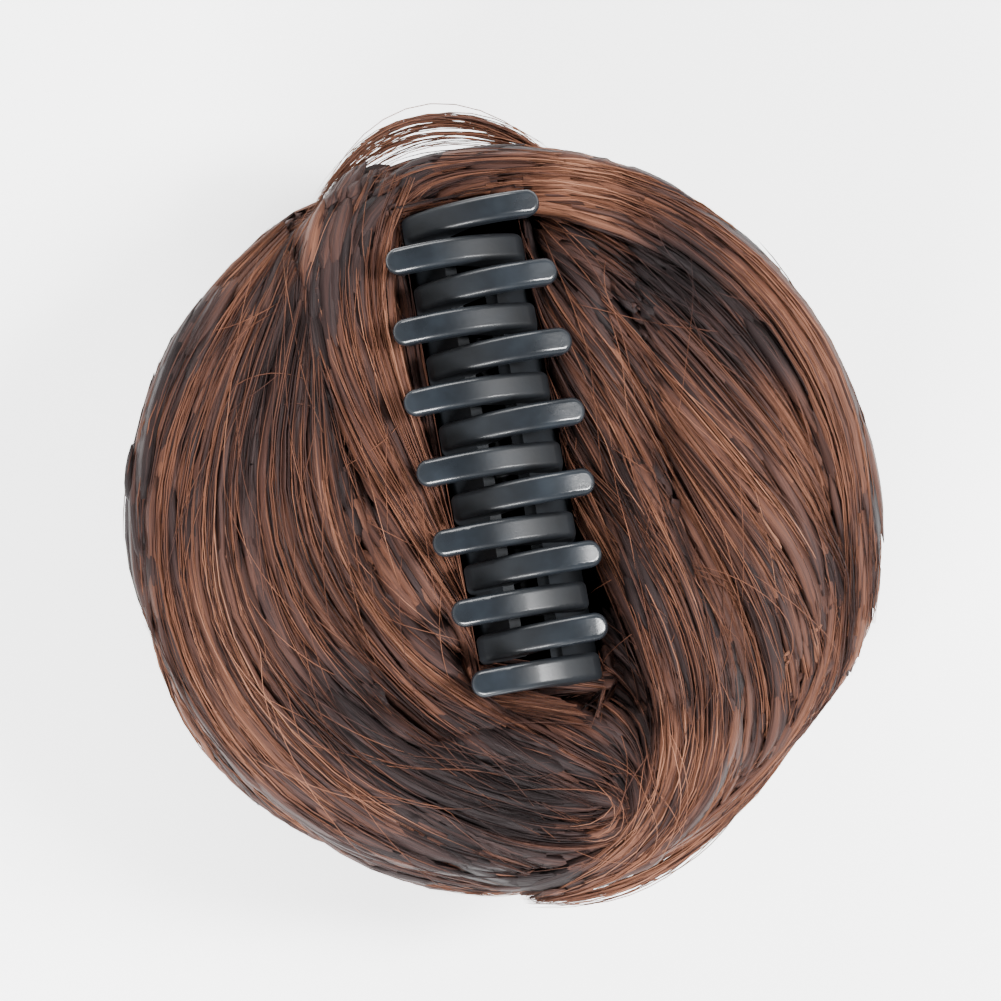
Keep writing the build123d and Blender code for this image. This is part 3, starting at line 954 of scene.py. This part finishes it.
def beside_jaw(path, side):
    """Return which points of a path lie over the lock beside a jaw."""
    x = (path[:, 0] - CLAW_X) * side
    along_row = np.abs(path[:, 1] - CLAW_Y) < ROW_HALF_LENGTH + 2 * MM
    return along_row & (x > JAW_HALF_WIDTH - MM) & (x < GIVE_LIMIT)


def split(strands):
    """Return the strands' runs away from the jaws, beside the left one and beside the right one."""
    runs = ([], [], [])
    for item in strands:
        path = item["path"]
        zone = np.where(beside_jaw(path, -1), 1, np.where(beside_jaw(path, 1), 2, 0))
        edges = [0, *(np.flatnonzero(np.diff(zone)) + 1), len(path)]
        for a, b in zip(edges[:-1], edges[1:]):
            beside = zone[a] > 0
            first, last = (max(a - 1, 0), min(b + 1, len(path))) if beside else (a, b)
            if last - first > 2 - beside:
                run = {key: item[key][first:last] for key in ("path", "out", "tone")}
                runs[zone[a]].append(dict(run, width=item["width"]))
    return runs


def dress(piece, finish):
    """Give a piece its finish."""
    piece.data.materials.clear()
    piece.data.materials.append(material(finish))
    return piece


class HairSizes(bpy.types.PropertyGroup):
    strand_radius: bpy.props.FloatProperty(
        name="Strand radius", description="Radius of one strand", default=0.000105, unit="LENGTH",
        precision=5,
    )
    density: bpy.props.FloatProperty(
        name="Density", description="Share of the full number of clumps", default=1.0, min=0.05, max=1.0,
        subtype="FACTOR",
    )


class BUN_OT_claw(bpy.types.Operator):
    """Finish the claw's plastic and its steel"""

    bl_idname = "bun.claw"
    bl_label = "Finish the claw"

    def execute(self, context):
        for name, finish in (
            ("jaw_left", "plastic_left"), ("jaw_right", "plastic_right"),
            ("hinge_pin", "steel"), ("coil_spring", "steel"),
        ):
            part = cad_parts[name]
            part.data.materials.clear()
            part.data.materials.append(material(finish))
        return {"FINISHED"}


def give_way(piece):
    """Bake the placing of a piece next to a jaw into its mesh."""
    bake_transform(piece)


def core_piece(name, voxel, inset):
    """Return a smooth closed copy of a solid, drawn in so that strands lie over it."""
    work = merged_copy([name])
    mesh = bpy.data.meshes.new(name + "_core")
    work.to_mesh(mesh)
    work.free()
    piece = bpy.data.objects.new(name + "_core", mesh)
    bpy.context.scene.collection.objects.link(piece)
    remesh = piece.modifiers.new("Remesh", "REMESH")
    remesh.mode = "VOXEL"
    remesh.voxel_size = voxel * MM
    with bpy.context.temp_override(object=piece, active_object=piece, selected_objects=[piece]):
        bpy.ops.object.modifier_apply(modifier="Remesh")
    for vertex, normal in [(v, v.normal.copy()) for v in piece.data.vertices]:
        vertex.co -= normal * inset * MM
    for polygon in piece.data.polygons:
        polygon.use_smooth = True
    return piece


class BUN_OT_core(bpy.types.Operator):
    """Make the mass of hair under the strands, dark as painted shade"""

    bl_idname = "bun.core"
    bl_label = "Make the hair's core"

    def execute(self, context):
        for name, (voxel, inset) in CORES.items():
            piece = dress(core_piece(name, voxel, inset), "hair_core")
            if name == "swoosh_lock":
                give_way(piece)
            elif name == "fan_lock":
                give_way(piece)
            elif name == "curl_lock":
                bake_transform(piece)
            else:
                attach(piece, "bun")
            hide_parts(name)
        return {"FINISHED"}


def lay(name, strands, radius, replaced=None):
    """Make the strands' piece and split off what lies beside the jaws."""
    for suffix, side, part in zip(("", "_by_jaw_left", "_by_jaw_right"), (0, -1, 1), split(strands)):
        if not part:
            continue
        finish = "hair_locks" if part[0]["width"] else "hair_strands"
        piece = dress(strand_object(name + suffix, part, radius), finish)
        if side:
            give_way(piece)
        else:
            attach(piece, "bun")
            if replaced:
                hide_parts(replaced)


class BUN_OT_strands(bpy.types.Operator):
    """Lay the locks and strands of hair over the bun"""

    bl_idname = "bun.strands"
    bl_label = "Lay the strands"

    def execute(self, context):
        sizes = context.scene.hair_sizes
        radius = sizes.strand_radius

        def some(count):
            """Return the share of a full count that is asked for."""
            return int(count * sizes.density)

        # The lower layers are given darker tones than the hair over them, as painted shade for their depth
        lay("under_locks", field_strands(some(1150), lift=(0.0, 0.5), tone=0.27, width=(1.8, 3.6)), radius)
        lay("under_strands", field_strands(some(600), lift=(0.4, 1.2), tone=0.38), radius)
        stray = field_strands(some(340), lift=(1.0, 2.2), tone=0.66, sway=0.28, reach=310)
        lay("flyaways", stray, 0.65 * radius)
        lay("loose", loose_strands(), 0.7 * radius)
        locks, fine = [], []
        for name, (count, clumps, tone) in LAYERS.items():
            sheet = flow_sheet(FLOWS[name], 16)
            locks += flow_locks(sheet, some(count), tone=tone - 0.04)
            fine.append((name, flow_strands(sheet, some(clumps), 9, tone=tone + 0.04)))
        lay("flow_locks", locks, radius)
        for name, strands in fine:
            lay(name + "_strands", strands, radius)
        wound_locks = wound_strands(some(1150), 1, lift=(-0.3, 0.25), tone=0.36, width=(1.6, 3.8))
        lay("wound_locks", wound_locks, radius)
        lay("wound_strands", wound_strands(some(140), 9), radius)
        for name, rows, width, thickness in RIMS:
            lay(name + "_locks", rope(rows, width, thickness, some(70), tone=0.46, broad=(1.4, 3.0)), radius)
            lay(name + "_strands", rope(rows, width, thickness, some(260), tone=0.52), radius)
        loop = sheaf(LOOP_ROWS, some(80), spread_out=(1.0, 6.0), tone=0.66)
        lay("loop_strands", loop, 0.9 * radius, "top_loop")
        tail = sheaf(TAIL_ROWS, some(90), spread_out=(1.0, 1.8), tone=0.6)
        lay("tail_strands", tail, radius, "tail_lock")
        return {"FINISHED"}


class BUN_OT_stage(bpy.types.Operator):
    """Set the floor, the lights and the camera"""

    bl_idname = "bun.stage"
    bl_label = "Set the stage"

    def execute(self, context):
        scene = context.scene
        work = bmesh.new()
        bmesh.ops.create_grid(work, x_segments=2, y_segments=2, size=FLOOR_HALF)
        mesh = bpy.data.meshes.new("floor")
        work.to_mesh(mesh)
        work.free()
        mesh.materials.append(material("floor"))
        floor = bpy.data.objects.new("floor", mesh)
        scene.collection.objects.link(floor)
        scene.world = studio_sky()
        for name, place, size, power in LIGHTS:
            data = bpy.data.lights.new(name, "AREA")
            data.shape = "RECTANGLE"
            data.size, data.size_y = size
            data.energy = power
            light = bpy.data.objects.new(name, data)
            light.location = place
            aim = Vector(LIT_POINT) - Vector(place)
            light.rotation_euler = aim.to_track_quat("-Z", "Y").to_euler()
            scene.collection.objects.link(light)
        data = bpy.data.cameras.new("camera")
        data.sensor_width = SENSOR
        data.lens = FOCAL_PIXELS / PHOTO_SIZE * SENSOR
        data.clip_start = 0.01
        camera = bpy.data.objects.new("camera", data)
        camera.location = EYE
        camera.rotation_euler = EYE_ANGLES
        scene.collection.objects.link(camera)
        scene.camera = camera
        return {"FINISHED"}


class BUN_PT_panel(bpy.types.Panel):
    """The bun's operators and sizes"""

    bl_idname = "BUN_PT_panel"
    bl_label = "Hair Bun"
    bl_space_type = "VIEW_3D"
    bl_region_type = "UI"
    bl_category = "Hair Bun"

    def draw(self, context):
        sizes = context.scene.hair_sizes
        self.layout.prop(sizes, "strand_radius")
        self.layout.prop(sizes, "density")
        for operator in STEPS:
            self.layout.operator(operator.bl_idname)


STEPS = (BUN_OT_claw, BUN_OT_core, BUN_OT_strands, BUN_OT_stage)
CLASSES = (HairSizes, *STEPS, BUN_PT_panel)


def register():
    for item in CLASSES:
        bpy.utils.register_class(item)
    bpy.types.Scene.hair_sizes = bpy.props.PointerProperty(type=HairSizes)


def unregister():
    del bpy.types.Scene.hair_sizes
    for item in reversed(CLASSES):
        bpy.utils.unregister_class(item)


def main():
    register()
    bpy.ops.bun.claw()
    bpy.ops.bun.core()
    bpy.ops.bun.strands()
    bpy.ops.bun.stage()


if __name__ == "__main__":
    main()
